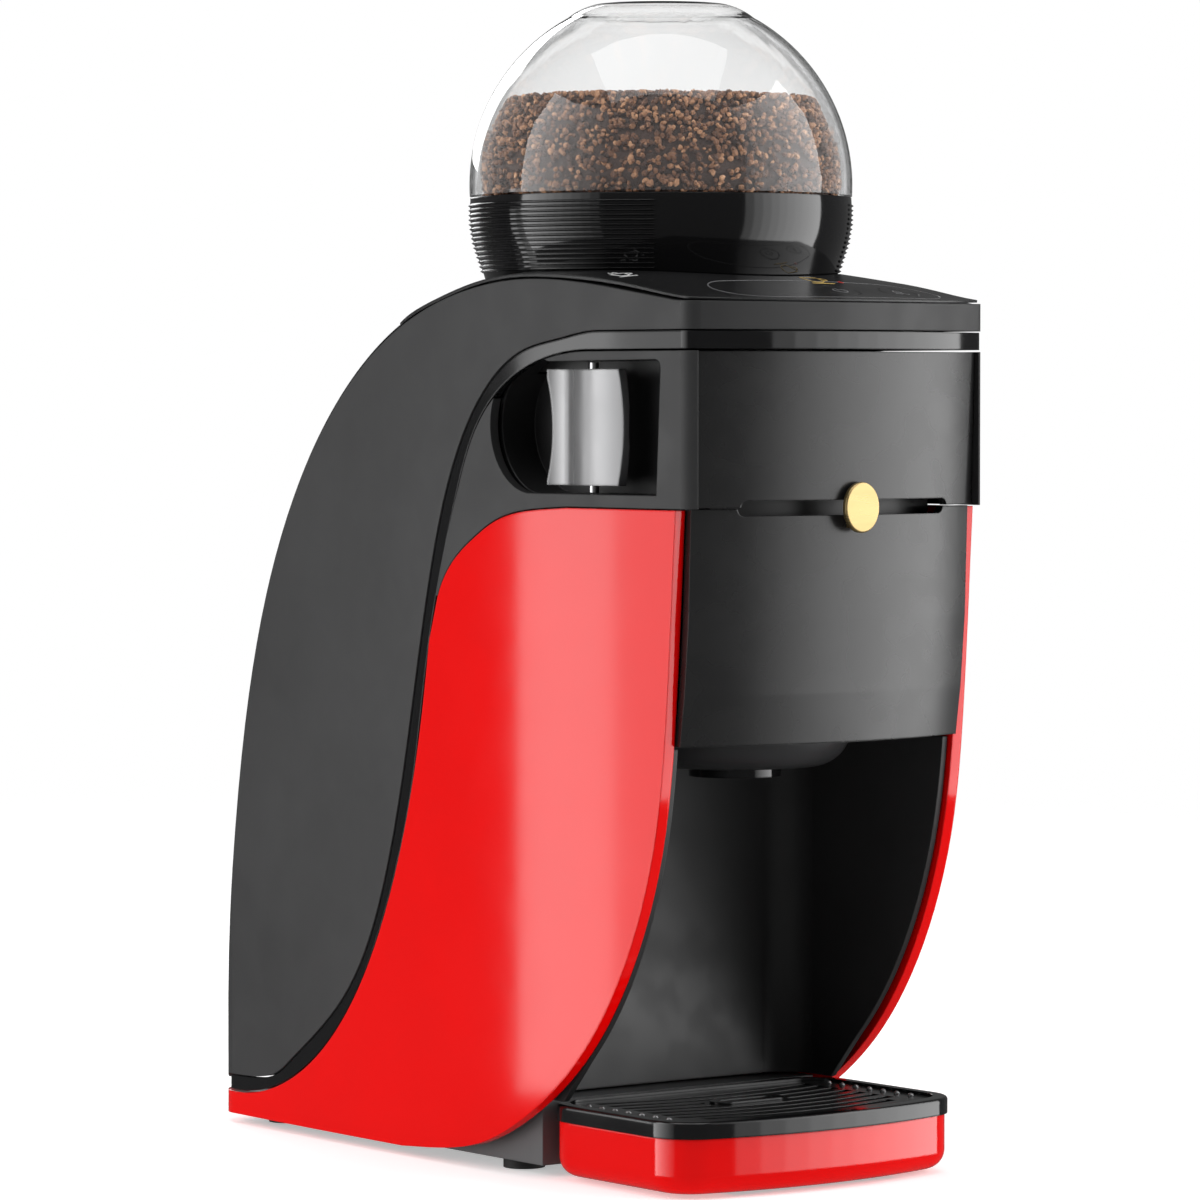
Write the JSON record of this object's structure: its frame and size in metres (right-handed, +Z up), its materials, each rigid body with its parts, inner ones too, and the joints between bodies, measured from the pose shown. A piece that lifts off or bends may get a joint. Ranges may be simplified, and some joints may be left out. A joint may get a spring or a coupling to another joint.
{
  "type": "soluble coffee machine",
  "caption": "Countertop coffee machine with a clear granule hopper on top, a bowed front, an arched side profile, a cup bay with drip tray and a rear water tank.",
  "frame": {"origin": "centre of the machine's bounding box at the surface it stands on", "axes": "+Z up, the front faces -Y, +X to the right seen from the front"},
  "size_m": [0.1208, 0.262, 0.36],
  "materials": {
    "grey_shell": "fine matte",
    "front_grey": "satin",
    "base_grey": "satin",
    "gloss_black": "high gloss",
    "matte_black": "matte",
    "bay_black": "satin",
    "grille_black": "gloss",
    "red_shell": "high gloss",
    "silver": "satin metallised",
    "gold": "polished",
    "steel": "plain",
    "aluminium": "cast",
    "rubber": "matte",
    "white_plastic": "plain",
    "board": "solder mask",
    "coffee": "granules",
    "clear": "clear",
    "smoke": "smoked clear",
    "clear_hose": "silicone"
  },
  "bodies": {
    "machine": {"casing": "grey_shell", "deck": "gloss_black", "rear_cover": "gloss_black", "gloss_strip": "gloss_black", "left_frame": "grey_shell", "right_frame": "grey_shell", "lever_pocket": "matte_black", "lever_pin": "steel", "left_red_shell": "red_shell", "right_red_shell": "red_shell", "upper_front_cover": "front_grey", "slot_backing": "matte_black", "bay_liner": "bay_black", "bay_ceiling": "matte_black", "whisk_motor": "steel", "powder_chute": "white_plastic", "hopper_seat": "matte_black", "tank_dock": "rubber", "base": "base_grey", "rubber_feet": "rubber", "chassis": "matte_black", "rear_wall": "matte_black", "pump": "steel", "pump_mounts": "rubber", "flow_meter": "white_plastic", "heater": "aluminium", "hoses": "clear_hose", "power_board": "board", "dosing_motor": "steel", "control_board": "board", "cord_gland": "rubber", "screws": "steel"},
    "front_cover": {"lower_front_cover": "front_grey", "badge": "gold"},
    "release_lever": {"thumb_lever": "silver"},
    "mixing_unit": {"mixing_bowl": "base_grey", "outlet_nozzle": "gloss_black"},
    "whisk_rotor": {"whisk": "white_plastic"},
    "hopper": {"hopper_collar": "gloss_black", "grip_ribs": "gloss_black", "granules": "coffee"},
    "dome": {"clear_dome": "clear"},
    "dosing_rotor": {"dosing_wheel": "white_plastic"},
    "dosing_drive": {"drive_shaft": "steel"},
    "tank": {"water_tank": "smoke", "hatch_pin": "steel"},
    "hatch": {"tank_hatch": "gloss_black"},
    "valve": {"tank_valve": "white_plastic"},
    "tray": {"drip_tray": "red_shell", "tray_rim": "gloss_black"},
    "grille": {"drip_grille": "grille_black", "grille_grip": "gloss_black", "grille_bumps": "silver"},
    "power_button": {"power_key": "gloss_black"},
    "rinse_button": {"rinse_key": "gloss_black"}
  },
  "joints": [
    {"name": "front_cover_pull", "type": "slide", "parent": "machine", "child": "front_cover", "axis": [0, -1, 0], "range_m": [0, 0.04]},
    {"name": "release_lever_turn", "type": "hinge", "parent": "machine", "child": "release_lever", "pos_m": [-0.0532, -0.0685, 0.229], "axis": [0, 0, 1], "range_deg": [0, 20]},
    {"name": "mixing_unit_drop", "type": "slide", "parent": "machine", "child": "mixing_unit", "axis": [0, 0, 1], "range_m": [-0.03, 0]},
    {"name": "whisk_spin", "type": "hinge", "parent": "machine", "child": "whisk_rotor", "pos_m": [0, -0.078, 0.14], "axis": [0, 0, 1], "continuous": true},
    {"name": "hopper_lift", "type": "slide", "parent": "machine", "child": "hopper", "axis": [0, 0, 1], "range_m": [0, 0.12]},
    {"name": "dome_twist", "type": "hinge", "parent": "hopper", "child": "dome", "pos_m": [0, -0.033, 0.3], "axis": [0, 0, 1], "range_deg": [0, 25]},
    {"name": "dosing_spin", "type": "hinge", "parent": "hopper", "child": "dosing_rotor", "pos_m": [0, -0.033, 0.254], "axis": [0, 0, 1], "continuous": true},
    {"name": "dosing_drive_spin", "type": "hinge", "parent": "machine", "child": "dosing_drive", "pos_m": [0, -0.033, 0.245], "axis": [0, 0, 1], "continuous": true},
    {"name": "tank_pull", "type": "slide", "parent": "machine", "child": "tank", "axis": [0, 1, 0], "range_m": [0, 0.12]},
    {"name": "hatch_turn", "type": "hinge", "parent": "tank", "child": "hatch", "pos_m": [0, 0.1054, 0.1726], "axis": [-1, 0, 0], "range_deg": [0, 95]},
    {"name": "valve_travel", "type": "slide", "parent": "tank", "child": "valve", "axis": [0, 1, 0], "range_m": [0, 0.0025], "stiffness_N_per_m": 150},
    {"name": "tray_pull", "type": "slide", "parent": "machine", "child": "tray", "axis": [0, -1, 0], "range_m": [0, 0.09]},
    {"name": "grille_lift", "type": "slide", "parent": "tray", "child": "grille", "axis": [0, 0, 1], "range_m": [0, 0.04]},
    {"name": "power_key_press", "type": "slide", "parent": "machine", "child": "power_button", "axis": [0, 0, -1], "range_m": [0, 0.0008], "stiffness_N_per_m": 500},
    {"name": "rinse_key_press", "type": "slide", "parent": "machine", "child": "rinse_button", "axis": [0, 0, -1], "range_m": [0, 0.0008], "stiffness_N_per_m": 500}
  ],
  "couplings": [
    {"joint": "dosing_drive_spin", "follows": "dosing_spin", "ratio": 1}
  ]
}
